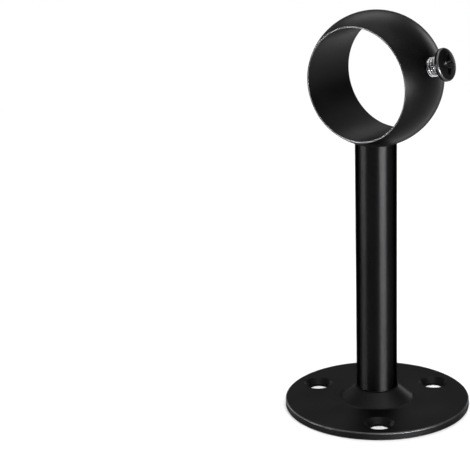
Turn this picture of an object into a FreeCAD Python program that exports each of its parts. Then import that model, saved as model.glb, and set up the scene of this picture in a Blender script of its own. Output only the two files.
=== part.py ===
import FreeCAD, Part
import os
import Sketcher

# Curtain pole bracket, millimetres.
# The flange's back lies in Z = 0 with its centre at the origin, the post rises along +Z,
# the pole passes along Y and the clamp screw enters the ring from the +X side.

doc = FreeCAD.newDocument("curtain_pole_bracket")

# Driving dimensions
sizes = {
    # Pole and ring
    "pole_diameter": 28.6,
    "pole_clearance": 0.4,
    "ring_wall": 3.0,
    "ring_lip": 0.3,
    "ring_height": 90.6,
    "bore_edge": 0.12,
    "rim_edge": 0.12,
    # Post
    "post_diameter": 11.0,
    "post_foot_edge": 0.3,
    "post_seat_gap": 0.04,
    "spigot_diameter": 6.0,
    "spigot_clearance": 0.03,
    "spigot_floor": 0.8,
    "spigot_edge": 0.3,
    # Flange
    "flange_diameter": 50.0,
    "plate_thickness": 2.0,
    "flange_front_edge": 0.35,
    "flange_back_edge": 0.2,
    "boss_base_diameter": 19.6,
    "boss_rise": 3.3,
    "boss_lip": 0.3,
    "boss_wall": 1.7,
    "boss_foot_radius": 1.4,
    "boss_top_edge": 0.3,
    "dish_mouth_round": 0.9,
    # Fixing holes in the flange
    "hole_outset": 1.1,
    "hole_count": 3.0,
    "hole_turn": -55.0,
    "hole_diameter": 5.2,
    "hole_straight": 0.6,
    "hole_flare": 90.0,
    # Screws, both with the same thread
    "thread_diameter": 5.0,
    "thread_clearance": 0.05,
    "thread_lead_in": 0.5,
    "through_clearance": 0.25,
    "post_thread_spare": 2.0,
    # Clamp screw
    "clamp_raise": 15.5,
    "clamp_stand_off": 2.9,
    "clamp_set_back": 0.25,
    "clamp_head_diameter": 8.5,
    "clamp_head_height": 2.2,
    "clamp_head_crown": 0.8,
    "clamp_neck_height": 0.5,
    "clamp_neck_diameter": 6.4,
    "clamp_head_edge": 0.35,
    # Foot screw
    "foot_screw_length": 10.0,
    "foot_head_gap": 0.8,
    "foot_head_break": 0.2,
    "foot_head_height": 2.2,
    "foot_head_crown": 0.7,
    "foot_head_edge": 0.35,
    # Cross recess of both screws
    "cross_span": 5.4,
    "cross_width": 1.0,
    "cross_depth": 1.5,
    "cross_turn": -16.0,
}

sheet = doc.addObject("Spreadsheet::Sheet", "sizes")
sheet.Label = "sizes"
for row, (alias, number) in enumerate(sizes.items(), start=1):
    sheet.set("A%d" % row, alias)
    sheet.set("B%d" % row, str(number))
    sheet.setAlias("B%d" % row, alias)
doc.recompute()


# Places that several pieces share, as formulas of the sheet's cells.
# The ball is cut off square where its wall has thinned to the lip at the bore's mouths.
bore_radius = "(sizes.pole_diameter / 2 + sizes.pole_clearance)"
ball_radius = "(%s + sizes.ring_wall)" % bore_radius
rim_radius = "(%s + sizes.ring_lip)" % bore_radius
half_length = "sqrt(%s^2 - %s^2)" % (ball_radius, rim_radius)
post_radius = "sizes.post_diameter / 2"
seat_radius = "(%s + sizes.post_seat_gap)" % ball_radius
spigot_radius = "sizes.spigot_diameter / 2"
tapped_radius = "(sizes.thread_diameter / 2 + sizes.thread_clearance)"
through_radius = "(sizes.thread_diameter / 2 + sizes.through_clearance)"
boss_top = "(sizes.plate_thickness + sizes.boss_rise)"
boss_top_radius = "(sizes.post_diameter / 2 + sizes.boss_lip)"
boss_run = "(sizes.boss_base_diameter / 2 - %s)" % boss_top_radius
ring_over_foot = "(sizes.ring_height - %s)" % boss_top
socket_end = "(%s + sizes.spigot_floor)" % bore_radius
spigot_end = "(%s + sizes.spigot_clearance)" % socket_end
clamp_tip = "(%s + sizes.clamp_set_back)" % bore_radius
clamp_length = "(%s + sizes.clamp_stand_off - %s)" % (ball_radius, clamp_tip)
hole_centre = "((sizes.boss_base_diameter + sizes.flange_diameter) / 4 + sizes.hole_outset)"

# The dish behind the boss runs parallel to its cone, one wall inside it
dish_top = "(%s - sizes.boss_wall)" % boss_top
cone_offset = "sizes.boss_wall * sqrt(1 + (%s / sizes.boss_rise)^2)" % boss_run
dish_top_radius = "(%s + %s * sizes.boss_wall / sizes.boss_rise - %s)" % (boss_top_radius, boss_run, cone_offset)
dish_mouth_radius = "(%s + %s * %s / sizes.boss_rise)" % (dish_top_radius, boss_run, dish_top)


def number_of(formula):
    return float(sheet.evalExpression(formula))


def new_body(label):
    body = doc.addObject("PartDesign::Body", label)
    body.Label = label
    return body


def origin_feature(body, role):
    for feature in body.Origin.OriginFeatures:
        if feature.Role == role:
            return feature


def new_sketch(body, name, role):
    sketch = body.newObject("Sketcher::SketchObject", name)
    sketch.AttachmentSupport = [(origin_feature(body, role), "")]
    sketch.MapMode = "FlatFace"
    return sketch


def bind(sketch, kind, references, name, formula):
    index = sketch.addConstraint(Sketcher.Constraint(kind, *references, number_of(formula)))
    sketch.renameConstraint(index, name)
    sketch.setExpression("Constraints." + name, formula)


# A closed profile through corners given as (name, across, up), each a formula.
# "0" holds the corner on the sketch's axis, and "" leaves that coordinate to an arc or to
# another constraint, with the start value of `guesses`. A side named in `arcs` by its first
# corner is an arc about (0, centre height).
def draw_profile(sketch, corners, arcs={}, guesses={}):
    points = []
    for name, across, up in corners:
        x = number_of(across) if across else guesses[name]
        y = number_of(up) if up else guesses[name]
        points.append(FreeCAD.Vector(x, y, 0))
    count = len(corners)
    for side in range(count):
        start = points[side]
        end = points[(side + 1) % count]
        name = corners[side][0]
        if name in arcs:
            sketch.addGeometry(arc_between(start, end, *arcs[name]))
        else:
            sketch.addGeometry(Part.LineSegment(start, end))
    for side in range(count):
        end_of_side = arc_ends(corners[side][0], arcs)[1]
        following = (side + 1) % count
        start_of_next = arc_ends(corners[following][0], arcs)[0]
        sketch.addConstraint(Sketcher.Constraint("Coincident", side, end_of_side, following, start_of_next))
    for side, (name, across, up) in enumerate(corners):
        place_corner(sketch, side, arc_ends(name, arcs)[0], name, across, up)
    for side, (name, across, up) in enumerate(corners):
        if name in arcs:
            place_arc_centre(sketch, side, name, *arcs[name])


def place_corner(sketch, side, end, name, across, up):
    if across == "0":
        sketch.addConstraint(Sketcher.Constraint("PointOnObject", side, end, -2))
    elif across:
        bind(sketch, "DistanceX", (-1, 1, side, end), name + "_across", across)
    if up == "0":
        sketch.addConstraint(Sketcher.Constraint("PointOnObject", side, end, -1))
    elif up:
        bind(sketch, "DistanceY", (-1, 1, side, end), name + "_up", up)


# Arcs run anticlockwise, so a side that runs clockwise starts at the arc's end point
def arc_between(start, end, centre_up, radius, direction):
    centre = FreeCAD.Vector(0, number_of(centre_up), 0)
    first, last = (start, end) if direction == "left" else (end, start)
    circle = Part.Circle(centre, FreeCAD.Vector(0, 0, 1), number_of(radius))
    first_angle = (first - centre).getAngle(FreeCAD.Vector(1, 0, 0))
    last_angle = (last - centre).getAngle(FreeCAD.Vector(1, 0, 0))
    if first.y < centre.y:
        first_angle = -first_angle
    if last.y < centre.y:
        last_angle = -last_angle
    return Part.ArcOfCircle(circle, first_angle, last_angle)


def arc_ends(name, arcs):
    if name in arcs and arcs[name][2] == "right":
        return 2, 1
    return 1, 2


def place_arc_centre(sketch, side, name, centre_up, radius, direction):
    bind(sketch, "Radius", (side,), name + "_radius", radius)
    if centre_up == "0":
        sketch.addConstraint(Sketcher.Constraint("Coincident", side, 3, -1, 1))
    else:
        sketch.addConstraint(Sketcher.Constraint("PointOnObject", side, 3, -2))
        bind(sketch, "DistanceY", (-1, 1, side, 3), name + "_centre", centre_up)


def revolve(body, sketch, name, axis="V_Axis", kind="PartDesign::Revolution"):
    feature = body.newObject(kind, name)
    feature.Profile = sketch
    feature.ReferenceAxis = (sketch, [axis])
    feature.Angle = 360.0
    doc.recompute()
    return feature


# Rounds the circular edges that lie about the given axis at the given distance along it and
# with the given radius
def round_rims(body, base, name, axis, rims, size):
    picked = []
    for index, edge in enumerate(base.Shape.Edges, start=1):
        if edge.Degenerated or edge.Curve.TypeId != "Part::GeomCircle":
            continue
        for along, radius in rims:
            same_place = abs(edge.Curve.Center.dot(axis) - along) < 0.001
            same_size = abs(edge.Curve.Radius - radius) < 0.001
            if same_place and same_size and abs(edge.Curve.Axis.dot(axis)) > 0.999:
                picked.append("Edge%d" % index)
    fillet = body.newObject("PartDesign::Fillet", name)
    fillet.Base = (base, picked)
    fillet.Radius = number_of(size)
    fillet.setExpression("Radius", size)
    doc.recompute()
    return fillet


# A round hole along a ray from the body's centre. The ray lies in the XZ plane, `turn` degrees
# above +X, and the hole runs from `inner` to `outer` along it.
def cut_radial_hole(body, name, turn, inner, outer, radius):
    sketch = new_sketch(body, name + "_profile", "XZ_Plane")
    sketch.AttachmentOffset = FreeCAD.Placement(
        FreeCAD.Vector(0, 0, 0), FreeCAD.Rotation(FreeCAD.Vector(0, 0, 1), number_of(turn)))
    sketch.setExpression("AttachmentOffset.Rotation.Angle", turn)
    draw_profile(sketch, [
        ("axis_inner", inner, "0"),
        ("axis_outer", outer, "0"),
        ("wall_outer", outer, radius),
        ("wall_inner", inner, radius),
    ])
    return revolve(body, sketch, name, "H_Axis", "PartDesign::Groove")


AXIS_Y = FreeCAD.Vector(0, 1, 0)
AXIS_Z = FreeCAD.Vector(0, 0, 1)


# Flange: a pressed disc with a conical boss, dished behind it, and countersunk holes
def make_flange():
    body = new_body("flange")
    sketch = new_sketch(body, "plate_section", "XZ_Plane")
    draw_profile(sketch, [
        ("hole_top", through_radius, boss_top),
        ("boss_top", boss_top_radius, boss_top),
        ("boss_foot", "sizes.boss_base_diameter / 2", "sizes.plate_thickness"),
        ("rim_front", "sizes.flange_diameter / 2", "sizes.plate_thickness"),
        ("rim_back", "sizes.flange_diameter / 2", "0"),
        ("dish_mouth", dish_mouth_radius, "0"),
        ("dish_top", dish_top_radius, dish_top),
        ("hole_back", through_radius, dish_top),
    ])
    plate = revolve(body, sketch, "plate")

    rim = number_of("sizes.flange_diameter / 2")
    thickness = number_of("sizes.plate_thickness")
    foot = [(thickness, number_of("sizes.boss_base_diameter / 2"))]
    top = [(number_of(boss_top), number_of(boss_top_radius))]
    mouth = [(0.0, number_of(dish_mouth_radius))]
    shape = round_rims(body, plate, "boss_foot_round", AXIS_Z, foot, "sizes.boss_foot_radius")
    shape = round_rims(body, shape, "boss_top_round", AXIS_Z, top, "sizes.boss_top_edge")
    shape = round_rims(body, shape, "dish_mouth_round", AXIS_Z, mouth, "sizes.dish_mouth_round")
    shape = round_rims(body, shape, "rim_front_round", AXIS_Z, [(thickness, rim)], "sizes.flange_front_edge")
    shape = round_rims(body, shape, "rim_back_round", AXIS_Z, [(0.0, rim)], "sizes.flange_back_edge")

    # One countersunk hole, cut about its own centre line, then repeated about the post
    hole_sketch = new_sketch(body, "hole_section", "XZ_Plane")
    hole_sketch.AttachmentOffset = FreeCAD.Placement(
        FreeCAD.Vector(number_of(hole_centre), 0, 0), FreeCAD.Rotation())
    hole_sketch.setExpression("AttachmentOffset.Base.x", hole_centre)
    flare = "(sizes.plate_thickness - sizes.hole_straight) * tan(sizes.hole_flare / 2)"
    draw_profile(hole_sketch, [
        ("axis_back", "0", "0"),
        ("wall_back", "sizes.hole_diameter / 2", "0"),
        ("throat", "sizes.hole_diameter / 2", "sizes.hole_straight"),
        ("mouth", "sizes.hole_diameter / 2 + " + flare, "sizes.plate_thickness"),
        ("axis_front", "0", "sizes.plate_thickness"),
    ])
    hole = revolve(body, hole_sketch, "hole", kind="PartDesign::Groove")
    holes = body.newObject("PartDesign::PolarPattern", "holes")
    holes.Originals = [hole]
    holes.Axis = (origin_feature(body, "Z_Axis"), [""])
    holes.Angle = 360.0
    holes.Occurrences = int(number_of("sizes.hole_count"))
    holes.setExpression("Occurrences", "sizes.hole_count")
    body.Tip = holes
    body.Placement = FreeCAD.Placement(
        FreeCAD.Vector(0, 0, 0), FreeCAD.Rotation(AXIS_Z, number_of("sizes.hole_turn")))
    body.setExpression("Placement.Rotation.Angle", "sizes.hole_turn")
    return body


# Post: a turned rod, tapped at its foot, its top hollowed to seat on the ball round a spigot
def make_post():
    body = new_body("post")
    sketch = new_sketch(body, "rod_section", "XZ_Plane")
    tapped_depth = "(sizes.foot_screw_length - sizes.boss_wall + sizes.post_thread_spare)"
    shoulder = number_of("%s - sqrt(%s^2 - (%s)^2)" % (ring_over_foot, seat_radius, post_radius))
    collar = number_of("%s - sqrt(%s^2 - (%s)^2)" % (ring_over_foot, seat_radius, spigot_radius))
    spigot_height = "%s - %s" % (ring_over_foot, spigot_end)
    draw_profile(sketch, [
        ("foot_inner", tapped_radius, "0"),
        ("foot_outer", post_radius, "0"),
        ("shoulder", post_radius, ""),
        ("spigot_foot", spigot_radius, ""),
        ("spigot_rim", spigot_radius, spigot_height),
        ("spigot_axis", "0", spigot_height),
        ("tapped_end", "0", tapped_depth),
        ("tapped_wall", tapped_radius, tapped_depth),
    ], arcs={"shoulder": (ring_over_foot, seat_radius, "right")},
        guesses={"shoulder": shoulder, "spigot_foot": collar})
    rod = revolve(body, sketch, "rod")
    foot = [(0.0, number_of(post_radius))]
    spigot = [(number_of(spigot_height), number_of(spigot_radius))]
    shape = round_rims(body, rod, "foot_round", AXIS_Z, foot, "sizes.post_foot_edge")
    round_rims(body, shape, "spigot_round", AXIS_Z, spigot, "sizes.spigot_edge")
    body.Placement.Base = FreeCAD.Vector(0, 0, number_of(boss_top))
    body.setExpression("Placement.Base.z", boss_top)
    return body


# Ring: a ball cut off square at both ends and bored for the pole
def make_ring():
    body = new_body("ring")
    sketch = new_sketch(body, "ring_section", "XY_Plane")
    rim = number_of(rim_radius)
    bore = number_of(bore_radius)
    half = number_of(half_length)
    centre = FreeCAD.Vector(0, 0, 0)
    rim_angle = FreeCAD.Vector(rim, half, 0).getAngle(FreeCAD.Vector(1, 0, 0))
    circle = Part.Circle(centre, AXIS_Z, number_of(ball_radius))
    sketch.addGeometry(Part.LineSegment(FreeCAD.Vector(bore, half, 0), FreeCAD.Vector(bore, -half, 0)))
    sketch.addGeometry(Part.LineSegment(FreeCAD.Vector(bore, -half, 0), FreeCAD.Vector(rim, -half, 0)))
    sketch.addGeometry(Part.ArcOfCircle(circle, -rim_angle, rim_angle))
    sketch.addGeometry(Part.LineSegment(FreeCAD.Vector(rim, half, 0), FreeCAD.Vector(bore, half, 0)))
    for first, first_end, second, second_end in ((0, 2, 1, 1), (1, 2, 2, 1), (2, 2, 3, 1), (3, 2, 0, 1)):
        sketch.addConstraint(Sketcher.Constraint("Coincident", first, first_end, second, second_end))
    sketch.addConstraint(Sketcher.Constraint("Symmetric", 0, 1, 0, 2, -1))
    sketch.addConstraint(Sketcher.Constraint("Horizontal", 1))
    sketch.addConstraint(Sketcher.Constraint("Horizontal", 3))
    sketch.addConstraint(Sketcher.Constraint("Coincident", 2, 3, -1, 1))
    bind(sketch, "Radius", (2,), "ball_radius", ball_radius)
    bind(sketch, "DistanceX", (-1, 1, 0, 1), "bore_radius", bore_radius)
    bind(sketch, "DistanceY", (-1, 1, 0, 1), "half_length", half_length)
    zone = revolve(body, sketch, "zone")
    rims = [(half, rim), (-half, rim)]
    mouths = [(half, bore), (-half, bore)]
    shape = round_rims(body, zone, "rim_round", AXIS_Y, rims, "sizes.rim_edge")
    round_rims(body, shape, "bore_round", AXIS_Y, mouths, "sizes.bore_edge")

    # Tapped hole for the clamp screw, from inside the bore out through the wall
    cut_radial_hole(body, "clamp_hole", "sizes.clamp_raise",
                    bore_radius + " / 2", ball_radius + " + sizes.ring_wall", tapped_radius)
    # Socket for the post's spigot, straight down and closed towards the bore
    cut_radial_hole(body, "spigot_socket", "-90",
                    socket_end, ball_radius + " + sizes.ring_wall",
                    "(%s + sizes.spigot_clearance)" % spigot_radius)
    body.Placement.Base = FreeCAD.Vector(0, 0, number_of("sizes.ring_height"))
    body.setExpression("Placement.Base.z", "sizes.ring_height")
    return body


# Screw with its tip at the body's origin and its head up, crowned and cut with a cross recess
def make_screw(label, length, neck, neck_radius, head_radius, head_height, head_crown, head_edge):
    body = new_body(label)
    sketch = new_sketch(body, "screw_section", "XZ_Plane")
    head_top = "(%s + %s)" % (length, head_height)
    head_foot = "(%s + %s)" % (length, neck)
    crown_start = "(%s - %s)" % (head_top, head_crown)
    crown_radius = "((%s)^2 + %s^2) / (2 * %s)" % (head_radius, head_crown, head_crown)
    crown_centre = "%s - %s" % (head_top, crown_radius)
    draw_profile(sketch, [
        ("tip_axis", "0", "0"),
        ("tip_edge", "sizes.thread_diameter / 2 - sizes.thread_lead_in", "0"),
        ("thread_start", "sizes.thread_diameter / 2", "sizes.thread_lead_in"),
        ("thread_end", "sizes.thread_diameter / 2", length),
        ("neck", neck_radius, length),
        ("head_foot", head_radius, head_foot),
        ("crown_rim", head_radius, ""),
        ("crown_top", "0", ""),
    ], arcs={"crown_rim": (crown_centre, crown_radius, "left")},
        guesses={"crown_rim": number_of(crown_start), "crown_top": number_of(head_top)})
    turned = revolve(body, sketch, "turned")
    rim = [(number_of(crown_start), number_of(head_radius))]
    round_rims(body, turned, "head_round", AXIS_Z, rim, head_edge)

    cut_slot(body, "slot_across", head_top, "sizes.cross_turn")
    cut_slot(body, "slot_up", head_top, "sizes.cross_turn + 90")
    return body


# One slot of the cross recess, sunk into the head's top and turned about the screw
def cut_slot(body, name, head_top, turn):
    sketch = new_sketch(body, name + "_outline", "XY_Plane")
    sketch.AttachmentOffset = FreeCAD.Placement(
        FreeCAD.Vector(0, 0, number_of(head_top)), FreeCAD.Rotation(AXIS_Z, number_of(turn)))
    sketch.setExpression("AttachmentOffset.Base.z", head_top)
    sketch.setExpression("AttachmentOffset.Rotation.Angle", turn)
    half_span = number_of("sizes.cross_span / 2")
    half_width = number_of("sizes.cross_width / 2")
    corners = [FreeCAD.Vector(x * half_span, y * half_width, 0) for x, y in ((1, 1), (-1, 1), (-1, -1), (1, -1))]
    for side in range(4):
        sketch.addGeometry(Part.LineSegment(corners[side], corners[(side + 1) % 4]))
    for side in range(4):
        sketch.addConstraint(Sketcher.Constraint("Coincident", side, 2, (side + 1) % 4, 1))
    for side, direction in enumerate(("Horizontal", "Vertical", "Horizontal", "Vertical")):
        sketch.addConstraint(Sketcher.Constraint(direction, side))
    sketch.addConstraint(Sketcher.Constraint("Symmetric", 0, 1, 2, 1, -1, 1))
    bind(sketch, "DistanceX", (-1, 1, 0, 1), "half_span", "sizes.cross_span / 2")
    bind(sketch, "DistanceY", (-1, 1, 0, 1), "half_width", "sizes.cross_width / 2")
    slot = body.newObject("PartDesign::Pocket", name)
    slot.Profile = sketch
    slot.Length = number_of("sizes.cross_depth")
    slot.setExpression("Length", "sizes.cross_depth")
    doc.recompute()


# Clamp screw: stands out of the ring, its tip just short of the pole's bore
def make_clamp_screw():
    body = make_screw(
        "clamp_screw", clamp_length,
        "sizes.clamp_neck_height", "sizes.clamp_neck_diameter / 2",
        "sizes.clamp_head_diameter / 2", "sizes.clamp_head_height",
        "sizes.clamp_head_crown", "sizes.clamp_head_edge")
    body.Placement.Rotation = FreeCAD.Rotation(AXIS_Y, number_of("90 - sizes.clamp_raise"))
    body.setExpression("Placement.Rotation.Angle", "90 - sizes.clamp_raise")
    body.setExpression("Placement.Base.x", "%s * cos(sizes.clamp_raise)" % clamp_tip)
    body.setExpression("Placement.Base.z", "sizes.ring_height + %s * sin(sizes.clamp_raise)" % clamp_tip)
    return body


# Foot screw: holds the flange to the post, its head up inside the dish
def make_foot_screw():
    head_radius = "(%s - sizes.foot_head_gap)" % dish_top_radius
    body = make_screw(
        "foot_screw", "sizes.foot_screw_length",
        "sizes.foot_head_break", head_radius + " - sizes.foot_head_break",
        head_radius, "sizes.foot_head_height",
        "sizes.foot_head_crown", "sizes.foot_head_edge")
    body.Placement = FreeCAD.Placement(
        FreeCAD.Vector(0, 0, number_of(dish_top + " + sizes.foot_screw_length")),
        FreeCAD.Rotation(FreeCAD.Vector(1, 0, 0), 180))
    body.setExpression("Placement.Base.z", dish_top + " + sizes.foot_screw_length")
    return body


pieces = [make_flange(), make_post(), make_ring(), make_clamp_screw(), make_foot_screw()]
doc.recompute()

os.makedirs("parts", exist_ok=True)
for item in doc.Objects:
    if "Invalid" in item.State or "Error" in item.State:
        raise RuntimeError(item.Name + " did not build")
for piece in pieces:
    if piece.Shape.isNull() or not piece.Shape.isValid():
        raise RuntimeError(piece.Label + " is not a sound solid")
    piece.Shape.exportStep("parts/" + piece.Label + ".step")
    print(piece.Label, "volume", round(piece.Shape.Volume, 1), "solids", len(piece.Shape.Solids))
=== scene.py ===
import bpy
import bmesh
import math
from mathutils import Matrix, Vector


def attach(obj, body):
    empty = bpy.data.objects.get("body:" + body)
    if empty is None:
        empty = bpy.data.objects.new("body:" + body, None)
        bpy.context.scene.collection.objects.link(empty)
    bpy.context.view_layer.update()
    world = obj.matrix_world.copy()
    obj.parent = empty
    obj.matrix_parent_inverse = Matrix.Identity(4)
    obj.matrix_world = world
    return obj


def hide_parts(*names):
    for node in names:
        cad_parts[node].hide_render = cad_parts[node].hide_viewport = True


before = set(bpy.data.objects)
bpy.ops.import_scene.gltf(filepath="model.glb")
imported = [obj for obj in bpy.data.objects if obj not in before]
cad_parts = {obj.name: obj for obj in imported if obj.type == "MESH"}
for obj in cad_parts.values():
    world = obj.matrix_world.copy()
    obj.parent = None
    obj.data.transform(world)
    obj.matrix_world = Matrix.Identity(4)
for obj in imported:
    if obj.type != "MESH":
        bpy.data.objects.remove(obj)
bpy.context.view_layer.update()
print("frame loaded:", ", ".join(sorted(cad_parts)))

mm = 0.001
weldDistance = 1e-7  # metres, closes the seam and the poles of what is turned
sliverLength = 1e-8  # metres, edges as short as this are dissolved
sharpAngle = 0.6  # radians, edges that bend more are shaded sharp
toolSegments = 96  # round a cutting tool
ringHeight = 90.6  # mm, the ring's middle above the wall

# Camera at the photo's viewing angle, round the post's axis. Lengths in mm, angles in degrees,
# the focal length and the frame in pixels, and the clipping distances in metres.
photoCamera = {
    "azimuth": 38.365,
    "elevation": 17.469,
    "roll": -1.788,
    "distance": 438.0,
    "aimHeight": 48.2,
    "sideStep": -37.58,
    "sensorWidth": 36,
    "focalPixels": 1646.24,
    "framePixels": 470,
    "clipStart": 0.01,
    "clipEnd": 50,
}


# Direction from the object towards an azimuth and an elevation, both in radians
def outwards(a, e):
    return Vector((math.sin(a) * math.cos(e), -math.cos(a) * math.cos(e), math.sin(e)))


def makeCamera(c):
    a, e, r = (math.radians(c[k]) for k in ("azimuth", "elevation", "roll"))
    back = outwards(a, e)
    level = Vector((math.cos(a), math.sin(a), 0))
    upright = back.cross(level)
    right = level * math.cos(r) + upright * math.sin(r)
    up = upright * math.cos(r) - level * math.sin(r)
    place = Vector((0, 0, c["aimHeight"])) + back * c["distance"] + right * c["sideStep"]
    data = bpy.data.cameras.new("photoCamera")
    data.sensor_width = c["sensorWidth"]
    data.lens = c["focalPixels"] / c["framePixels"] * c["sensorWidth"]
    data.clip_start = c["clipStart"]
    data.clip_end = c["clipEnd"]
    camera = bpy.data.objects.new("photoCamera", data)
    bpy.context.scene.collection.objects.link(camera)
    turn = Matrix((right, up, back)).transposed().to_4x4()
    camera.matrix_world = Matrix.Translation(place * mm) @ turn
    bpy.context.scene.camera = camera


makeCamera(photoCamera)
bpy.context.scene.view_settings.view_transform = "Standard"
print("camera set")


# Joins a socket to a node's output, or sets it to a plain value
def link(tree, source, socket):
    if isinstance(source, bpy.types.NodeSocket):
        tree.links.new(source, socket)
    else:
        socket.default_value = source


def calc(tree, how, *terms):
    node = tree.nodes.new("ShaderNodeMath")
    node.operation = how
    for term, socket in zip(terms, node.inputs):
        link(tree, term, socket)
    return node.outputs[0]


def clamped(tree, value):
    return calc(tree, "MINIMUM", calc(tree, "MAXIMUM", value, 0.0), 1.0)


def startGeometryTree(name, wanted):
    tree = bpy.data.node_groups.new(name, "GeometryNodeTree")
    for label, kind, start in wanted:
        socket = tree.interface.new_socket(label, in_out="INPUT", socket_type=kind)
        if start is not None:
            socket.default_value = start
    tree.interface.new_socket("Geometry", in_out="OUTPUT", socket_type="NodeSocketGeometry")
    return tree, tree.nodes.new("NodeGroupInput").outputs


def shadeByAngle(tree, geometry, angle):
    smooth = tree.nodes.new("GeometryNodeSetShadeSmooth")
    smooth.domain = "FACE"
    link(tree, geometry, smooth.inputs["Geometry"])
    edge = tree.nodes.new("GeometryNodeInputMeshEdgeAngle")
    sharp = tree.nodes.new("GeometryNodeSetShadeSmooth")
    sharp.domain = "EDGE"
    link(tree, smooth.outputs[0], sharp.inputs["Geometry"])
    steep = calc(tree, "GREATER_THAN", edge.outputs["Unsigned Angle"], angle)
    link(tree, steep, sharp.inputs["Selection"])
    sharp.inputs["Shade Smooth"].default_value = False
    return sharp.outputs[0]


# A tree ends in plain geometry with its finish, and where wanted a second finish on some of the faces
def finishTree(tree, geometry, material, second=None, where=None):
    realize = tree.nodes.new("GeometryNodeRealizeInstances")
    link(tree, geometry, realize.inputs["Geometry"])
    paint = tree.nodes.new("GeometryNodeSetMaterial")
    link(tree, realize.outputs[0], paint.inputs["Geometry"])
    link(tree, material, paint.inputs["Material"])
    if second:
        first, paint = paint, tree.nodes.new("GeometryNodeSetMaterial")
        link(tree, first.outputs[0], paint.inputs["Geometry"])
        link(tree, where, paint.inputs["Selection"])
        link(tree, second, paint.inputs["Material"])
    tree.links.new(paint.outputs[0], tree.nodes.new("NodeGroupOutput").inputs[0])


# Turns a half section about Z. The section's points lie in order, with x the radius and z the height.
# A thread is sunk into it between two heights, and the depth of the groove is kept for the finish.
def makeLatheTree():
    tree, given = startGeometryTree("latheTurning", [
        ("Section", "NodeSocketGeometry", None),
        ("Segments", "NodeSocketInt", 192),
        ("Thread Pitch", "NodeSocketFloat", 0.0008),
        ("Thread Depth", "NodeSocketFloat", 0.0),
        ("Thread Start", "NodeSocketFloat", 0.0),
        ("Thread End", "NodeSocketFloat", 0.0),
        ("Thread Runout", "NodeSocketFloat", 0.0004),
        ("Sharp Angle", "NodeSocketFloat", sharpAngle),
        ("Finish", "NodeSocketMaterial", None),
    ])
    size = tree.nodes.new("GeometryNodeAttributeDomainSize")
    size.component = "MESH"
    link(tree, given["Section"], size.inputs["Geometry"])
    rows = size.outputs["Point Count"]
    grid = tree.nodes.new("GeometryNodeMeshGrid")
    link(tree, calc(tree, "ADD", given["Segments"], 1.0), grid.inputs["Vertices X"])
    link(tree, rows, grid.inputs["Vertices Y"])

    # Half a point more keeps the first point of a column from falling into the column before
    index = tree.nodes.new("GeometryNodeInputIndex").outputs[0]
    column = calc(tree, "FLOOR", calc(tree, "DIVIDE", calc(tree, "ADD", index, 0.5), rows))
    row = calc(tree, "SUBTRACT", index, calc(tree, "MULTIPLY", column, rows))
    turn = calc(tree, "DIVIDE", column, given["Segments"])
    pick = tree.nodes.new("GeometryNodeSampleIndex")
    pick.data_type = "FLOAT_VECTOR"
    link(tree, given["Section"], pick.inputs["Geometry"])
    link(tree, tree.nodes.new("GeometryNodeInputPosition").outputs[0], pick.inputs["Value"])
    link(tree, row, pick.inputs["Index"])
    point = tree.nodes.new("ShaderNodeSeparateXYZ")
    link(tree, pick.outputs[0], point.inputs[0])
    radius, height = point.outputs[0], point.outputs[2]

    # A 60 degree thread has a flat crest an eighth of the pitch wide and a root a quarter wide
    crest, root = 1 / 8, 1 / 4
    wave = calc(tree, "DIVIDE", height, given["Thread Pitch"])
    wave = calc(tree, "FRACT", calc(tree, "SUBTRACT", wave, turn))
    away = calc(tree, "ABSOLUTE", calc(tree, "SUBTRACT", calc(tree, "MULTIPLY", wave, 2.0), 1.0))
    groove = calc(tree, "DIVIDE", calc(tree, "SUBTRACT", 1 - crest, away), 1 - crest - root)
    groove = clamped(tree, groove)
    for near, far in ((height, given["Thread Start"]), (given["Thread End"], height)):
        fade = calc(tree, "DIVIDE", calc(tree, "SUBTRACT", near, far), given["Thread Runout"])
        groove = calc(tree, "MULTIPLY", groove, clamped(tree, fade))
    radius = calc(tree, "SUBTRACT", radius, calc(tree, "MULTIPLY", groove, given["Thread Depth"]))

    angle = calc(tree, "MULTIPLY", turn, 2 * math.pi)
    place = tree.nodes.new("ShaderNodeCombineXYZ")
    link(tree, calc(tree, "MULTIPLY", radius, calc(tree, "COSINE", angle)), place.inputs[0])
    link(tree, calc(tree, "MULTIPLY", radius, calc(tree, "SINE", angle)), place.inputs[1])
    link(tree, height, place.inputs[2])
    keep = tree.nodes.new("GeometryNodeStoreNamedAttribute")
    keep.data_type = "FLOAT"
    keep.domain = "POINT"
    keep.inputs["Name"].default_value = "groove"
    link(tree, grid.outputs["Mesh"], keep.inputs["Geometry"])
    link(tree, groove, keep.inputs["Value"])
    move = tree.nodes.new("GeometryNodeSetPosition")
    link(tree, keep.outputs[0], move.inputs["Geometry"])
    link(tree, place.outputs[0], move.inputs["Position"])
    merge = tree.nodes.new("GeometryNodeMergeByDistance")
    merge.inputs["Distance"].default_value = weldDistance
    link(tree, move.outputs[0], merge.inputs["Geometry"])
    finishTree(tree, shadeByAngle(tree, merge.outputs[0], given["Sharp Angle"]), given["Finish"])
    return tree


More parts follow.
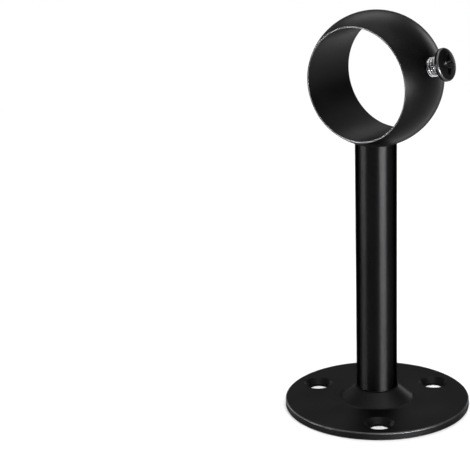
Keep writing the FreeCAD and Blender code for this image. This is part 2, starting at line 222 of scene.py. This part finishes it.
# Cuts a tool out of a piece, once or several times round the Z axis. Faces below Lower Top get
# the lower finish. Its default lies far below, so that every face gets the first one.
def makeCuttingTree():
    tree, given = startGeometryTree("repeatedCut", [
        ("Piece", "NodeSocketGeometry", None),
        ("Tool", "NodeSocketObject", None),
        ("Count", "NodeSocketInt", 1),
        ("Out", "NodeSocketFloat", 0.0),
        ("First Turn", "NodeSocketFloat", 0.0),
        ("Full Turn", "NodeSocketFloat", 2 * math.pi),
        ("Sharp Angle", "NodeSocketFloat", sharpAngle),
        ("Finish", "NodeSocketMaterial", None),
        ("Lower Finish", "NodeSocketMaterial", None),
        ("Lower Top", "NodeSocketFloat", -100.0),
    ])
    tool = tree.nodes.new("GeometryNodeObjectInfo")
    link(tree, given["Tool"], tool.inputs["Object"])
    shift = tree.nodes.new("GeometryNodeTransform")
    out = tree.nodes.new("ShaderNodeCombineXYZ")
    link(tree, given["Out"], out.inputs[0])
    link(tree, tool.outputs["Geometry"], shift.inputs["Geometry"])
    link(tree, out.outputs[0], shift.inputs["Translation"])
    points = tree.nodes.new("GeometryNodeMeshLine")
    points.inputs["Offset"].default_value = (0, 0, 0)
    link(tree, given["Count"], points.inputs["Count"])
    index = tree.nodes.new("GeometryNodeInputIndex").outputs[0]
    step = calc(tree, "DIVIDE", given["Full Turn"], given["Count"])
    turn = calc(tree, "ADD", given["First Turn"], calc(tree, "MULTIPLY", index, step))
    spin = tree.nodes.new("ShaderNodeCombineXYZ")
    link(tree, turn, spin.inputs[2])
    copies = tree.nodes.new("GeometryNodeInstanceOnPoints")
    link(tree, points.outputs[0], copies.inputs["Points"])
    link(tree, shift.outputs[0], copies.inputs["Instance"])
    link(tree, spin.outputs[0], copies.inputs["Rotation"])
    realize = tree.nodes.new("GeometryNodeRealizeInstances")
    link(tree, copies.outputs[0], realize.inputs["Geometry"])
    cut = tree.nodes.new("GeometryNodeMeshBoolean")
    cut.operation = "DIFFERENCE"
    cut.solver = "MANIFOLD"
    link(tree, given["Piece"], cut.inputs["Mesh 1"])
    link(tree, realize.outputs[0], cut.inputs["Mesh 2"])
    point = tree.nodes.new("ShaderNodeSeparateXYZ")
    link(tree, tree.nodes.new("GeometryNodeInputPosition").outputs[0], point.inputs[0])
    lower = calc(tree, "LESS_THAN", point.outputs[2], given["Lower Top"])
    shaded = shadeByAngle(tree, cut.outputs["Mesh"], given["Sharp Angle"])
    finishTree(tree, shaded, given["Finish"], given["Lower Finish"], lower)
    return tree


latheTree = makeLatheTree()
cuttingTree = makeCuttingTree()


# Runs a tree on an object and keeps the result as a plain mesh
def runTree(thing, tree, values):
    modifier = thing.modifiers.new(tree.name, "NODES")
    modifier.node_group = tree
    names = {item.name: item.identifier for item in tree.interface.items_tree if item.in_out == "INPUT"}
    for label, value in values.items():
        modifier[names[label]] = value
    thing.update_tag()
    bpy.context.view_layer.update()
    ready = thing.evaluated_get(bpy.context.evaluated_depsgraph_get())
    made = bpy.data.meshes.new_from_object(ready)
    thing.modifiers.remove(modifier)
    thing.data = made
    return thing


# A section through corners (radius, height, rounding). Rounded corners get a fine arc, and a close
# point on either side of it keeps the flats beside it flat when they are shaded smooth.
def sectionThrough(corners, steps=8, closed=False, guard=0.12):
    points = []
    count = len(corners)
    for i, corner in enumerate(corners):
        here = Vector((corner[0], corner[1]))
        rounding = corner[2] if len(corner) > 2 else 0
        if not rounding or (not closed and i in (0, count - 1)):
            points.append(here)
            continue
        before = Vector(corners[i - 1][:2]) - here
        after = Vector(corners[(i + 1) % count][:2]) - here
        half = before.angle(after) / 2
        before.normalize()
        after.normalize()
        reach = rounding / math.tan(half)
        middle = here + (before + after).normalized() * rounding / math.sin(half)
        start = here + before * reach
        end = here + after * reach
        first, last = start - middle, end - middle
        swing = first.angle_signed(last)
        points.append(start + before * guard)
        for k in range(steps + 1):
            t = -swing * k / steps
            points.append(middle + Vector((first.x * math.cos(t) - first.y * math.sin(t),
                                           first.x * math.sin(t) + first.y * math.cos(t))))
        points.append(end + after * guard)
    if closed:
        points.append(points[0].copy())
    return points


# Extra points so that no run of the section is longer than a given length
def divided(points, longest):
    fine = [points[0]]
    for a, b in zip(points, points[1:]):
        parts = max(1, math.ceil((b - a).length / longest))
        fine += [a.lerp(b, k / parts) for k in range(1, parts + 1)]
    return fine


# Point of a section at the angle t on a circle round (x, y)
def onCircle(x, y, radius, t):
    return Vector((x + radius * math.cos(t), y + radius * math.sin(t)))


def newPiece(name, mesh):
    piece = bpy.data.objects.new(name, mesh)
    bpy.context.scene.collection.objects.link(piece)
    return piece


def turned(name, points, values):
    mesh = bpy.data.meshes.new(name)
    corners = [(p.x * mm, 0, p.y * mm) for p in points]
    mesh.from_pydata(corners, [(k, k + 1) for k in range(len(corners) - 1)], [])
    piece = runTree(newPiece(name, mesh), latheTree, values)
    faceOutwards(piece.data)
    return piece


# A plain round tool along Z, from one height to another
def roundTool(name, radius, low, high, material):
    section = sectionThrough([(0, low), (radius, low), (radius, high), (0, high)])
    return turned(name, section, {"Segments": toolSegments, "Finish": material})


def faceOutwards(mesh):
    work = bmesh.new()
    work.from_mesh(mesh)
    bmesh.ops.dissolve_degenerate(work, dist=sliverLength, edges=work.edges)
    bmesh.ops.recalc_face_normals(work, faces=work.faces)
    work.to_mesh(mesh)
    work.free()


def putInPlace(piece, matrix):
    piece.data.transform(matrix)
    piece.data.update()


# Cuts a tool out of a piece, and clears the tool away
def cutAway(piece, tool, values):
    runTree(piece, cuttingTree, {"Tool": tool, **values})
    bpy.data.objects.remove(tool)


roundedBend = (6, 40)  # degrees, how far two facets of a rounded edge bend


# Marks the rounded outer edges, where a coat rubs thin first and where a painted highlight line is laid
# along them, by as much as the given function says for a place
def markWornAndHighlitEdges(piece, wearAndHighlightAt):
    least, most = (math.radians(bend) for bend in roundedBend)
    work = bmesh.new()
    work.from_mesh(piece.data)
    layer = work.verts.layers.float.new("edgeWearAndHighlight")
    for edge in work.edges:
        if len(edge.link_faces) == 2 and least < edge.calc_face_angle_signed(0) < most:
            for corner in edge.verts:
                corner[layer] = wearAndHighlightAt(corner.co / mm)
    work.to_mesh(piece.data)
    work.free()


def startMaterial(name):
    material = bpy.data.materials.new(name)
    material.use_nodes = True
    return material, material.node_tree, material.node_tree.nodes["Principled BSDF"]


def noise(tree, scale, detail, stretch=None):
    where = tree.nodes.new("ShaderNodeTexCoord").outputs["Object"]
    if stretch:
        mapping = tree.nodes.new("ShaderNodeMapping")
        mapping.inputs["Scale"].default_value = stretch
        link(tree, where, mapping.inputs["Vector"])
        where = mapping.outputs[0]
    node = tree.nodes.new("ShaderNodeTexNoise")
    node.inputs["Scale"].default_value = scale
    node.inputs["Detail"].default_value = detail
    link(tree, where, node.inputs["Vector"])
    return node.outputs["Fac"]


def mapTo(tree, value, low, high, fromLow=0.0, fromHigh=1.0):
    node = tree.nodes.new("ShaderNodeMapRange")
    limits = {"From Min": fromLow, "From Max": fromHigh, "To Min": low, "To Max": high}
    for label, number in limits.items():
        node.inputs[label].default_value = number
    link(tree, value, node.inputs["Value"])
    return node.outputs[0]


def blend(tree, factor, first, second):
    node = tree.nodes.new("ShaderNodeMix")
    node.data_type = "RGBA"
    link(tree, factor, node.inputs["Factor"])
    firstColour, secondColour = node.inputs[6], node.inputs[7]  # A and B of the kind RGBA
    for colour, socket in ((first, firstColour), (second, secondColour)):
        link(tree, (*colour, 1) if isinstance(colour, tuple) else colour, socket)
    return node.outputs[2]


def attribute(tree, name):
    node = tree.nodes.new("ShaderNodeAttribute")
    node.attribute_name = name
    return node.outputs["Fac"]


def addBump(tree, shader, height, strength, depth):
    bump = tree.nodes.new("ShaderNodeBump")
    bump.inputs["Strength"].default_value = strength
    bump.inputs["Distance"].default_value = depth * mm
    link(tree, height, bump.inputs["Height"])
    link(tree, bump.outputs[0], shader.inputs["Normal"])


# Satin black stove enamel: soft mottling, fine orange peel, and rounded edges painted a little lighter,
# partly as rubbed wear and partly as a painted highlight.
# It is deep black with a low even sheen, and edgeSheen sets how far that rises towards grazing.
# Scales are per metre and depths in mm. A span gives the two values between which a change runs.
coat = {
    "dark": (0.0055, 0.0055, 0.0057),
    "light": (0.0115, 0.0115, 0.0118),
    "wornAndHighlit": (0.095, 0.095, 0.097),
    "mottleScale": 90, "mottleDetail": 4, "mottleShare": 0.6,
    "grainScale": 2600, "grainDetail": 2, "grainShare": 0.4,
    "toneSpan": (0.3, 0.7), "stretch": None,
    "patchScale": 500, "patchDetail": 3, "patchSpan": (0.35, 0.6), "patchLeast": 0.6,
    "roughLow": 0.38, "roughHigh": 0.50, "wornPolish": 0.1,
    "grazingSpan": (0.72, 0.92), "grazingGrain": 0.4,
    "peelDepth": 0.008, "peelStrength": 0.35,
    "edgeSheen": 0.6,
    "turning": 0,
}
rodFinish = {
    **coat, "roughLow": 0.34, "roughHigh": 0.38, "edgeSheen": 0.35, "turning": 0.78,
    "grainScale": 2080, "stretch": (1, 1, 0.35),
}
# The ring's enamel is a darker copy of the same coat, a painted shade that makes the ring render darker
# than the plate and the rod
ballFinishWithPaintedShade = {
    **coat, "dark": (0.0042, 0.0042, 0.0044), "light": (0.0092, 0.0092, 0.0095),
    # Its worn colour is far lighter: partly wear and partly a painted highlight line round the bore's
    # mouths
    "wornAndHighlit": (0.45, 0.45, 0.46), "edgeSheen": 0.75, "grainScale": 2340,
}
headFinish = {
    **coat, "wornAndHighlit": (0.10, 0.10, 0.102), "roughLow": 0.34, "roughHigh": 0.44, "grainScale": 3380,
}


def makeCoat(name, c):
    material, tree, shader = startMaterial(name)
    mottle = noise(tree, c["mottleScale"], c["mottleDetail"], c["stretch"])
    fine = noise(tree, c["grainScale"], c["grainDetail"], c["stretch"])
    tone = calc(tree, "ADD", calc(tree, "MULTIPLY", mottle, c["mottleShare"]),
                calc(tree, "MULTIPLY", fine, c["grainShare"]))
    colour = blend(tree, mapTo(tree, tone, 0, 1, *c["toneSpan"]), c["dark"], c["light"])
    patchy = noise(tree, c["patchScale"], c["patchDetail"])
    patchy = mapTo(tree, patchy, c["patchLeast"], 1, *c["patchSpan"])
    # The lightened edges are partly wear and partly painted highlight
    wearAndHighlight = calc(tree, "MULTIPLY", attribute(tree, "edgeWearAndHighlight"), patchy)
    link(tree, blend(tree, wearAndHighlight, colour, c["wornAndHighlit"]), shader.inputs["Base Color"])
    rough = mapTo(tree, tone, c["roughLow"], c["roughHigh"], *c["toneSpan"])
    rough = calc(tree, "SUBTRACT", rough, calc(tree, "MULTIPLY", wearAndHighlight, c["wornPolish"]))
    # The fine grain of the enamel scatters what would be glare along its outline
    facing = tree.nodes.new("ShaderNodeLayerWeight").outputs["Facing"]
    grazing = mapTo(tree, facing, 0, 1, *c["grazingSpan"])
    rough = calc(tree, "ADD", rough, calc(tree, "MULTIPLY", grazing, c["grazingGrain"]))
    link(tree, rough, shader.inputs["Roughness"])
    addBump(tree, shader, fine, c["peelStrength"], c["peelDepth"])
    shader.inputs["Metallic"].default_value = 1
    sheen = c["edgeSheen"]
    shader.inputs["Specular Tint"].default_value = (sheen, sheen, sheen, 1)
    if c["turning"]:
        # Fine turning marks, all the way round the rod, draw its highlights out along it
        upright = tree.nodes.new("ShaderNodeCombineXYZ")
        upright.inputs["Z"].default_value = 1
        link(tree, upright.outputs[0], shader.inputs["Tangent"])
        shader.inputs["Anisotropic"].default_value = c["turning"]
    return material


# Bright zinc on the thread, greyer down in the grooves
zinc = {
    "bright": (0.72, 0.72, 0.74),
    "dull": (0.58, 0.58, 0.60),
    "groove": (0.05, 0.05, 0.052),
    "grooveSpan": (0.25, 0.85),
    "streakScale": 1400, "streakDetail": 4, "streakSpan": (0.35, 0.65),
    "roughLow": 0.22, "roughHigh": 0.38, "roughSpan": (0.3, 0.7),
    "grainScale": 5200, "grainDetail": 2, "grainDepth": 0.003, "grainStrength": 0.2,
}


def makeZinc(name, c):
    material, tree, shader = startMaterial(name)
    streak = noise(tree, c["streakScale"], c["streakDetail"])
    plate = blend(tree, mapTo(tree, streak, 0, 1, *c["streakSpan"]), c["bright"], c["dull"])
    depth = mapTo(tree, attribute(tree, "groove"), 0, 1, *c["grooveSpan"])
    link(tree, blend(tree, depth, plate, c["groove"]), shader.inputs["Base Color"])
    rough = mapTo(tree, streak, c["roughLow"], c["roughHigh"], *c["roughSpan"])
    link(tree, rough, shader.inputs["Roughness"])
    shader.inputs["Metallic"].default_value = 1
    grain = noise(tree, c["grainScale"], c["grainDetail"])
    addBump(tree, shader, grain, c["grainStrength"], c["grainDepth"])
    return material


plateCoat = makeCoat("satinBlackPlate", coat)
rodCoat = makeCoat("satinBlackRod", rodFinish)
ballCoat = makeCoat("satinBlackBall", ballFinishWithPaintedShade)
headCoat = makeCoat("satinBlackScrewHead", headFinish)
threadZinc = makeZinc("zincThread", zinc)
print("finishes made")


# Sizes in mm, angles in degrees. No step along a section is longer than its row.
flange = {
    "radius": 25.0, "thickness": 2.0, "frontEdge": 0.35, "backEdge": 0.2,
    "bossFoot": 9.8, "bossTop": 5.8, "bossHeight": 5.3, "bossWall": 1.7,
    "footRound": 1.4, "topRound": 0.3, "mouthRound": 0.9, "centreHole": 2.75,
    "holeCircle": 18.5, "holeCount": 3, "holeTurn": -55.0,
    "holeRadius": 2.6, "holeStraight": 0.6, "holeFlare": 45.0,
    "drillBelow": 1, "drillAbove": 0.5, "row": 1.5, "segments": 256,
}


def makeFlange(f):
    run, rise = f["bossFoot"] - f["bossTop"], f["bossHeight"] - f["thickness"]
    # The wall is as thick on the cone as on top, so the dish behind follows the boss
    ceiling = f["bossHeight"] - f["bossWall"]
    innerTop = f["bossTop"] + run * f["bossWall"] / rise - f["bossWall"] * math.hypot(1, run / rise)
    mouth = innerTop + run * ceiling / rise
    outline = sectionThrough([
        (f["centreHole"], f["bossHeight"]),
        (f["bossTop"], f["bossHeight"], f["topRound"]),
        (f["bossFoot"], f["thickness"], f["footRound"]),
        (f["radius"], f["thickness"], f["frontEdge"]),
        (f["radius"], 0, f["backEdge"]),
        (mouth, 0, f["mouthRound"]),
        (innerTop, ceiling),
        (f["centreHole"], ceiling),
    ], closed=True)
    plate = turned("flangePlate", divided(outline, f["row"]),
                   {"Segments": f["segments"], "Finish": plateCoat})
    drillTop = f["thickness"] + f["drillAbove"]
    flare = math.tan(math.radians(f["holeFlare"]))
    flareRadius = f["holeRadius"] + (f["thickness"] - f["holeStraight"] + f["drillAbove"]) * flare
    drill = turned("flangeDrill", sectionThrough([
        (0, -f["drillBelow"]),
        (f["holeRadius"], -f["drillBelow"]),
        (f["holeRadius"], f["holeStraight"]),
        (flareRadius, drillTop),
        (0, drillTop),
    ]), {"Segments": toolSegments, "Finish": plateCoat})
    cutAway(plate, drill, {
        "Count": f["holeCount"], "Out": f["holeCircle"] * mm,
        "First Turn": math.radians(f["holeTurn"]), "Finish": plateCoat,
    })
    return plate


flangePiece = makeFlange(flange)
print("flange made:", len(flangePiece.data.polygons), "faces")


post = {
    "radius": 5.5, "foot": 5.3, "footEdge": 0.3,
    "ballCentre": ringHeight, "seatRadius": 17.74,
    "spigotRadius": 3.0, "spigotTop": 75.07, "spigotEdge": 0.3,
    "tapRadius": 2.55, "tapDepth": 10.3,
    "row": 3, "seatSteps": 12, "segments": 192,
}


def makePost(p):
    # The head is hollowed out to sit on the ball, round its spigot
    seat = []
    for k in range(p["seatSteps"] + 1):
        r = p["radius"] + (p["spigotRadius"] - p["radius"]) * k / p["seatSteps"]
        seat.append((r, p["ballCentre"] - math.sqrt(p["seatRadius"] ** 2 - r * r)))
    outline = sectionThrough([
        (0, p["foot"] + p["tapDepth"]),
        (p["tapRadius"], p["foot"] + p["tapDepth"]),
        (p["tapRadius"], p["foot"]),
        (p["radius"], p["foot"], p["footEdge"]),
        *seat,
        (p["spigotRadius"], p["spigotTop"], p["spigotEdge"]),
        (0, p["spigotTop"]),
    ])
    return turned("postRod", divided(outline, p["row"]),
                  {"Segments": p["segments"], "Finish": rodCoat})


postPiece = makePost(post)
print("post made:", len(postPiece.data.polygons), "faces")


ring = {
    "centre": ringHeight, "bore": 14.7, "ball": 17.7, "rim": 15.0,
    "boreEdge": 0.12, "rimEdge": 0.12, "guard": 0.12,
    "tapRadius": 2.55, "tapRaise": 15.5, "tapFrom": 7,
    "socketRadius": 3.03, "socketEnd": 15.5, "toolEnd": 21,
    "row": 0.8, "ballSteps": 48, "edgeSteps": 8, "segments": 288,
}


def makeRing(r):
    half = math.sqrt(r["ball"] ** 2 - r["rim"] ** 2)  # of the length along the pole
    # The rim's rounding meets the ball and the flat end, and is found from both
    inner = r["ball"] - r["rimEdge"]
    top = half - r["rimEdge"]
    across = math.sqrt(inner ** 2 - top ** 2)
    lean = math.atan2(top, across)
    outline = []
    for k in range(r["ballSteps"] + 1):
        t = -lean + 2 * lean * k / r["ballSteps"]
        outline.append(onCircle(0, 0, r["ball"], t))
    ends = []
    for k in range(1, r["edgeSteps"] + 1):
        t = lean + (math.pi / 2 - lean) * k / r["edgeSteps"]
        ends.append(onCircle(across, top, r["rimEdge"], t))
    for k in range(r["edgeSteps"] + 1):
        t = math.pi / 2 + math.pi / 2 * k / r["edgeSteps"]
        ends.append(onCircle(r["bore"] + r["boreEdge"], half - r["boreEdge"], r["boreEdge"], t))
    wallEnd = half - r["boreEdge"] - r["guard"]
    wall = [Vector((r["bore"], wallEnd)), Vector((r["bore"], -wallEnd))]
    mirrored = [Vector((p.x, -p.y)) for p in reversed(ends)]
    outline = outline + ends + divided(wall, r["row"]) + mirrored
    outline.append(outline[0].copy())
    ball = turned("ringBall", outline, {"Segments": r["segments"], "Finish": ballCoat})
    putInPlace(ball, Matrix.Rotation(math.radians(-90), 4, "X"))

    tap = roundTool("ringTap", r["tapRadius"], r["tapFrom"], r["toolEnd"], ballCoat)
    putInPlace(tap, Matrix.Rotation(math.radians(90 - r["tapRaise"]), 4, "Y"))
    socket = roundTool("ringSocket", r["socketRadius"], -r["toolEnd"], -r["socketEnd"], ballCoat)
    for tool in (tap, socket):
        cutAway(ball, tool, {"Finish": ballCoat})
    putInPlace(ball, Matrix.Translation((0, 0, r["centre"] * mm)))
    return ball


ringPiece = makeRing(ring)
print("ring made:", len(ringPiece.data.polygons), "faces")


# crownFrom is the first of the crown's steps that lies inside the head's rounded rim
clampScrew = {
    "length": 5.65, "threadRadius": 2.5, "leadIn": 0.5, "neckRadius": 3.2, "neckHeight": 0.5,
    "headRadius": 4.25, "headHeight": 2.2, "crown": 0.8, "headEdge": 0.55, "crownFrom": 5,
    "row": 0.04, "segments": 144, "tip": 14.95,
}
footScrew = {
    "length": 10.0, "threadRadius": 2.5, "leadIn": 0.5, "neckRadius": 4.19, "neckHeight": 0.2,
    "headRadius": 4.39, "headHeight": 2.2, "crown": 0.7, "headEdge": 0.35, "crownFrom": 3,
    "row": 0.08, "segments": 96, "tip": 13.6,
}
screwHead = {"neckEdge": 0.1, "guard": 0.04, "row": 0.5, "crownSteps": 24}
thread = {"pitch": 0.8, "depth": 0.42, "start": 0.15, "runout": 0.35, "zincGap": 0.001}
crossRecess = {
    "span": 5.4, "width": 1.2, "depth": 1.5, "corner": 0.3, "turn": -16.0, "above": 0.3,
    "floorSpan": 2.6, "floorWidth": 0.8, "floorCorner": 0.15, "floorDip": 0.3,
}


# Outline of the recess at one height: four wings, with the inner corners between them cut off
def crossOutline(span, width, corner):
    a, b, g = span / 2, width / 2, corner
    quarter = [(a, -b), (a, b), (b + g, b), (b, b + g)]
    points = []
    for k in range(4):
        c, s = round(math.cos(k * math.pi / 2)), round(math.sin(k * math.pi / 2))
        points += [(x * c - y * s, x * s + y * c) for x, y in quarter]
    return points


# The recess has its full span where its wings end in the crowned face. It narrows to its floor,
# and the floor dips towards the middle.
def recessTool(top, mouthHeight, c):
    upperHeight, floorHeight = top + c["above"], top - c["depth"] + c["floorDip"]
    stretch = (upperHeight - floorHeight) / (mouthHeight - floorHeight)
    floor = (c["floorSpan"], c["floorWidth"], c["floorCorner"])
    mouth = (c["span"], c["width"], c["corner"])
    upper = crossOutline(*(narrow + (wide - narrow) * stretch for wide, narrow in zip(mouth, floor)))
    lower = crossOutline(*floor)
    work = bmesh.new()
    rims = [[work.verts.new(Vector((x, y, z)) * mm) for x, y in outline]
            for outline, z in ((upper, upperHeight), (lower, floorHeight))]
    middle = work.verts.new((0, 0, (top - c["depth"]) * mm))
    count = len(upper)
    for k in range(count):
        n = (k + 1) % count
        work.faces.new((rims[0][k], rims[0][n], rims[1][n], rims[1][k]))
        work.faces.new((rims[1][k], rims[1][n], middle))
    work.faces.new(rims[0])
    bmesh.ops.recalc_face_normals(work, faces=work.faces)
    mesh = bpy.data.meshes.new("recessTool")
    work.to_mesh(mesh)
    work.free()
    return newPiece("recessTool", mesh)


def makeScrew(name, s):
    top = s["length"] + s["headHeight"]
    shank = divided(sectionThrough([
        (0, 0),
        (s["threadRadius"] - s["leadIn"], 0),
        (s["threadRadius"], s["leadIn"]),
        (s["threadRadius"], s["length"]),
    ]), s["row"])
    crownRadius = (s["headRadius"] ** 2 + s["crown"] ** 2) / (2 * s["crown"])

    def crownHeight(r):
        return top - crownRadius + math.sqrt(crownRadius ** 2 - r * r)

    crown = []
    for k in range(s["crownFrom"], screwHead["crownSteps"] + 1):
        r = s["headRadius"] * (1 - k / screwHead["crownSteps"])
        crown.append((r, crownHeight(r)))
    head = divided(sectionThrough([
        (s["threadRadius"], s["length"]),
        (s["neckRadius"], s["length"]),
        (s["headRadius"], s["length"] + s["neckHeight"], screwHead["neckEdge"]),
        (s["headRadius"], top - s["crown"], s["headEdge"]),
        *crown,
    ], guard=screwHead["guard"]), screwHead["row"])
    piece = turned(name, shank + head[1:], {
        "Segments": s["segments"], "Finish": threadZinc,
        "Thread Pitch": thread["pitch"] * mm, "Thread Depth": thread["depth"] * mm,
        "Thread Start": thread["start"] * mm, "Thread End": s["length"] * mm,
        "Thread Runout": thread["runout"] * mm,
    })
    tool = recessTool(top, crownHeight(crossRecess["span"] / 2), crossRecess)
    # The zinc ends just short of the head, so that the head's underside is black too
    cutAway(piece, tool, {
        "First Turn": math.radians(crossRecess["turn"]), "Finish": headCoat,
        "Lower Finish": threadZinc, "Lower Top": (s["length"] - thread["zincGap"]) * mm,
    })
    return piece


clampPiece = makeScrew("clampScrew", clampScrew)
tilt = Matrix.Rotation(math.radians(90 - ring["tapRaise"]), 4, "Y")
lift = Matrix.Translation((0, 0, ring["centre"] * mm))
putInPlace(clampPiece, lift @ tilt @ Matrix.Translation((0, 0, clampScrew["tip"] * mm)))
footPiece = makeScrew("footScrew", footScrew)
upsideDown = Matrix.Rotation(math.pi, 4, "X")
putInPlace(footPiece, Matrix.Translation((0, 0, footScrew["tip"] * mm)) @ upsideDown)
print("screws made:", len(clampPiece.data.polygons), "and", len(footPiece.data.polygons), "faces")


# How far each edge is lightened, partly as wear and partly as painted highlight
rubbedAndHighlit = {"mouthSides": 0.1, "mouthMore": 0.9, "edges": 0.6}  # 0 is a whole coat, 1 a fully rubbed one


# A pole rubs the mouths of the bore, most at the bottom and the top, and this lightening is also a
# painted highlight line along the mouths' edges
def mouthWearAndHighlight(place):
    across = math.hypot(place.x, place.z - ring["centre"])
    if across > ring["rim"] + ring["rimEdge"]:
        return 0
    return rubbedAndHighlit["mouthSides"] + rubbedAndHighlit["mouthMore"] * ((place.z - ring["centre"]) / across) ** 2


# Every rounded edge is lightened alike, partly as wear and partly as painted highlight
def evenWearAndHighlight(place):
    return rubbedAndHighlit["edges"]


for piece, node, body, slot, wearAndHighlightAt in (
    (flangePiece, "flange", "bracket", "black_plate", evenWearAndHighlight),
    (postPiece, "post", "bracket", "black_rod", evenWearAndHighlight),
    (ringPiece, "ring", "bracket", "black_casting", mouthWearAndHighlight),
    (footPiece, "foot_screw", "bracket", "screw_steel", evenWearAndHighlight),
    (clampPiece, "clamp_screw", "clamp", "screw_steel", evenWearAndHighlight),
):
    markWornAndHighlitEdges(piece, wearAndHighlightAt)
    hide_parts(node)
    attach(piece, body)
print("pieces ride on their bodies")


# Lengths in metres, apart from the floor's drop in mm. openShare and patchShare are shares of the
# flange's and its holes' radius. The sky's fade runs between two elevations in degrees, and its
# light from below comes in between two heights of a ray's direction.
studio = {
    "floorReach": 6.0, "floorLight": (0.80, 0.80, 0.80), "floorDark": (0.785, 0.785, 0.785),
    "cloudScale": 3, "cloudDetail": 2, "cloudLow": 0.985, "floorRough": 0.9, "floorGloss": 0.1,
    "floorSides": 96, "openShare": 0.985, "patchSides": 48, "patchShare": 1.15, "floorDrop": 0.02,
    "whiteFrom": 0.06, "whiteTo": 0.4,
    "skyLow": 0.05, "skyHigh": 0.85, "fadeFrom": 14, "fadeTo": 44,
    "skyBelow": 0.95, "belowFrom": -0.04, "belowTo": -0.02,
    "lampCentre": 0.05,
}


def mixShaders(tree, factor, first, second):
    mix = tree.nodes.new("ShaderNodeMixShader")
    tree.links.new(factor, mix.inputs[0])
    tree.links.new(first.outputs[0], mix.inputs[1])
    tree.links.new(second.outputs[0], mix.inputs[2])
    return mix


def makeFloor(s):
    # The floor is open under the flange, so that light from below reaches the part's underside,
    # and closed again under the flange's holes, so that they show the floor
    work = bmesh.new()
    sides = s["floorSides"]
    rings = []
    for reach in (flange["radius"] * mm * s["openShare"], s["floorReach"]):
        turns = [2 * math.pi * k / sides for k in range(sides)]
        rings.append([work.verts.new((reach * math.cos(t), reach * math.sin(t), 0)) for t in turns])
    for k in range(sides):
        n = (k + 1) % sides
        work.faces.new((rings[0][k], rings[1][k], rings[1][n], rings[0][n]))
    for k in range(flange["holeCount"]):
        t = math.radians(flange["holeTurn"]) + 2 * math.pi * k / flange["holeCount"]
        place = Vector((math.cos(t), math.sin(t), 0)) * flange["holeCircle"] * mm
        bmesh.ops.create_circle(work, cap_ends=True, segments=s["patchSides"],
                                radius=flange["holeRadius"] * mm * s["patchShare"],
                                matrix=Matrix.Translation(place))
    for face in work.faces:
        face.normal_update()
        if face.normal.z < 0:
            face.normal_flip()
    bmesh.ops.translate(work, verts=work.verts, vec=(0, 0, -s["floorDrop"] * mm))
    mesh = bpy.data.meshes.new("studioFloor")
    work.to_mesh(mesh)
    work.free()
    floor = newPiece("studioFloor", mesh)
    material, tree, shader = startMaterial("paleFloor")
    shade = mapTo(tree, noise(tree, s["cloudScale"], s["cloudDetail"]), s["cloudLow"], 1.0)
    tint = blend(tree, shade, s["floorDark"], s["floorLight"])
    link(tree, tint, shader.inputs["Base Color"])
    shader.inputs["Roughness"].default_value = s["floorRough"]
    shader.inputs["Specular IOR Level"].default_value = s["floorGloss"]
    # Further out the floor turns into an even white backdrop, in mirrors and glass too
    reach = tree.nodes.new("ShaderNodeVectorMath")
    reach.operation = "LENGTH"
    link(tree, tree.nodes.new("ShaderNodeTexCoord").outputs["Object"], reach.inputs[0])
    away = mapTo(tree, reach.outputs["Value"], 0, 1, s["whiteFrom"], s["whiteTo"])
    rays = tree.nodes.new("ShaderNodeLightPath").outputs
    seen = calc(tree, "MAXIMUM", rays["Is Camera Ray"], rays["Is Glossy Ray"])
    seen = calc(tree, "MAXIMUM", seen, rays["Is Transmission Ray"])
    white = tree.nodes.new("ShaderNodeEmission")
    backdrop = mixShaders(tree, calc(tree, "MULTIPLY", seen, away), shader, white)
    # Seen from below, the floor lets the object's underside show
    below = tree.nodes.new("ShaderNodeNewGeometry").outputs["Backfacing"]
    whole = mixShaders(tree, below, backdrop, tree.nodes.new("ShaderNodeBsdfTransparent"))
    tree.links.new(whole.outputs[0], tree.nodes["Material Output"].inputs["Surface"])
    mesh.materials.append(material)


# One large soft ceiling of light that dims towards the horizon, and an even light from below
def makeSky(s):
    world = bpy.data.worlds.new("softStudio")
    bpy.context.scene.world = world
    world.use_nodes = True
    tree = world.node_tree
    part = tree.nodes.new("ShaderNodeSeparateXYZ")
    link(tree, tree.nodes.new("ShaderNodeTexCoord").outputs["Generated"], part.inputs[0])
    rise = mapTo(tree, part.outputs[2], s["skyLow"], s["skyHigh"],
                 math.sin(math.radians(s["fadeFrom"])), math.sin(math.radians(s["fadeTo"])))
    below = mapTo(tree, part.outputs[2], s["skyBelow"], 0, s["belowFrom"], s["belowTo"])
    tree.nodes["Background"].inputs["Color"].default_value = (1, 1, 1, 1)
    link(tree, calc(tree, "ADD", rise, below), tree.nodes["Background"].inputs["Strength"])


# Soft boxes: name, azimuth from the camera's own and elevation in degrees, distance, width and
# height in metres, and radiance
softBoxes = [
    ("keyStrip", 31.5, -4, 0.60, 0.36, 0.10, 184.0),
    ("fillStrip", -78, -4, 0.60, 0.34, 0.10, 62.0),
    ("rimStrip", 146, 6, 0.60, 0.14, 0.30, 5.0),
    ("backStrip", -135, 2, 0.60, 0.16, 0.20, 20.0),
    ("topBox", 0, 62, 0.70, 0.30, 0.30, 3.5),
    ("crownBox", 180, 43, 0.70, 0.40, 0.25, 3.8),
    ("zenithBox", 180, 80, 0.70, 0.35, 0.30, 5.0),
    ("sideBox", 60, 68, 0.70, 0.18, 0.18, 9.0),
]


def makeSoftBoxes(s):
    centre = Vector((0, 0, s["lampCentre"]))
    for name, azimuth, elevation, distance, wide, tall, radiance in softBoxes:
        away = outwards(math.radians(azimuth + photoCamera["azimuth"]), math.radians(elevation))
        data = bpy.data.lights.new(name, "AREA")
        data.shape = "RECTANGLE"
        data.size, data.size_y = wide, tall
        data.energy = radiance * math.pi * wide * tall
        lamp = bpy.data.objects.new(name, data)
        bpy.context.scene.collection.objects.link(lamp)
        lamp.location = centre + away * distance
        lamp.rotation_mode = "QUATERNION"
        lamp.rotation_quaternion = away.to_track_quat("Z", "Y")
        lamp.visible_camera = False


makeFloor(studio)
makeSky(studio)
makeSoftBoxes(studio)
print("studio set")
